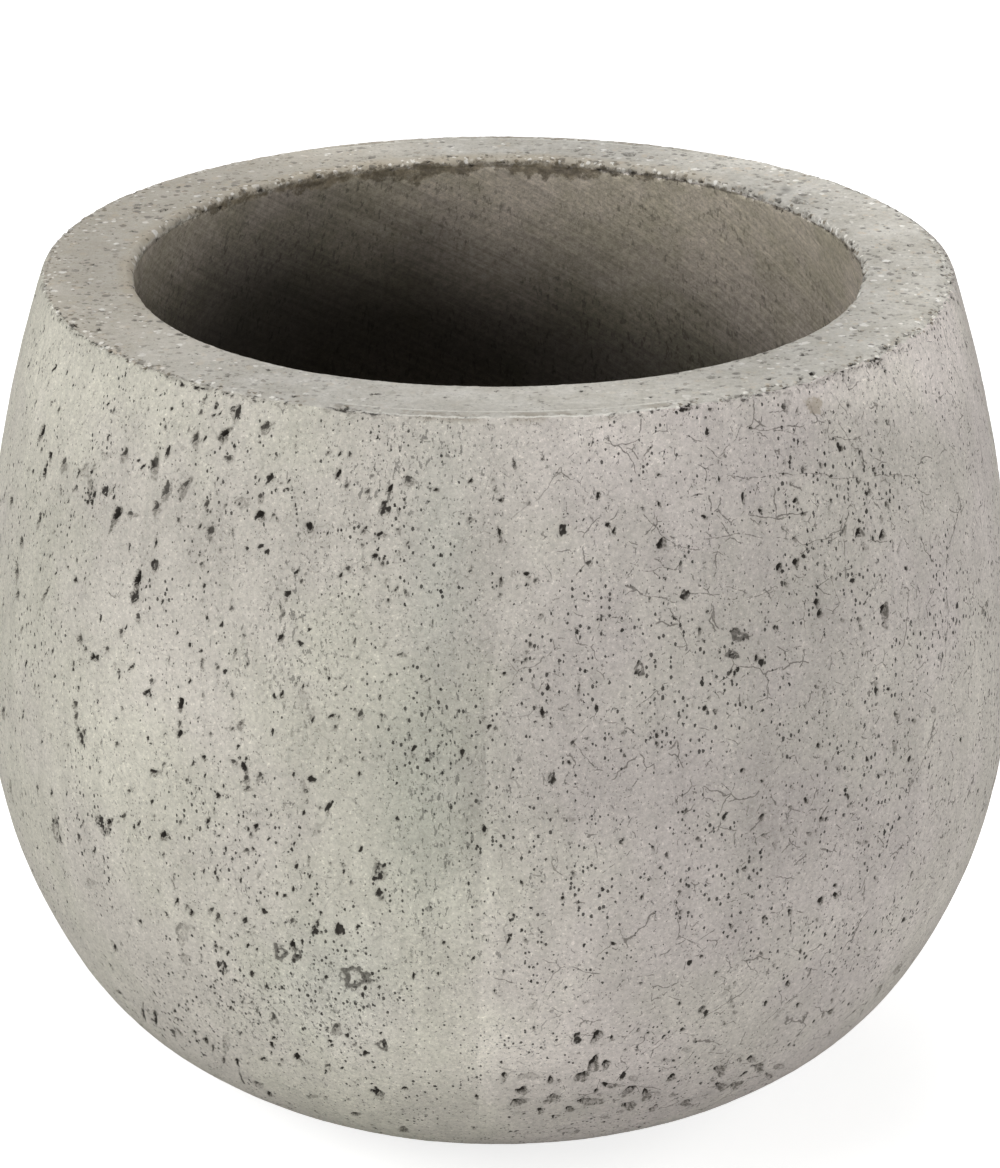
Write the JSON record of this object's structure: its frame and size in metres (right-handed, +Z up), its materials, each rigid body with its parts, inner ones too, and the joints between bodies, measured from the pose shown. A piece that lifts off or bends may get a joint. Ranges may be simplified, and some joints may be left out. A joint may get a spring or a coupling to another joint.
{
  "type": "cast stone planter",
  "caption": "Squat round cast stone planter bowl with a thick flat ground rim, a sleeved drain in its floor and a rubber plug that lifts out.",
  "frame": {"origin": "on the ground, at the axis of the bowl", "axes": "+Z up along the axis of the bowl; the pictured side faces -Y"},
  "size_m": [0.42, 0.42, 0.338],
  "materials": {
    "cast_stone": "pale grey cast stone, pitted, with a ground rim that shows its aggregate",
    "sleeve_plastic": "grey moulded plastic",
    "plug_rubber": "matt black moulded rubber",
    "pad_rubber": "matt black sheet rubber"
  },
  "bodies": {
    "planter": {"planter_body": "cast_stone", "drain_sleeve": "sleeve_plastic", "foot_pad_front_left": "pad_rubber", "foot_pad_front_right": "pad_rubber", "foot_pad_rear_left": "pad_rubber", "foot_pad_rear_right": "pad_rubber"},
    "plug": {"drain_plug": "plug_rubber"}
  },
  "joints": [
    {"name": "plug_lift", "type": "slide", "parent": "planter", "child": "plug", "axis": [0, 0, 1], "range_m": [0, 0.36]}
  ]
}
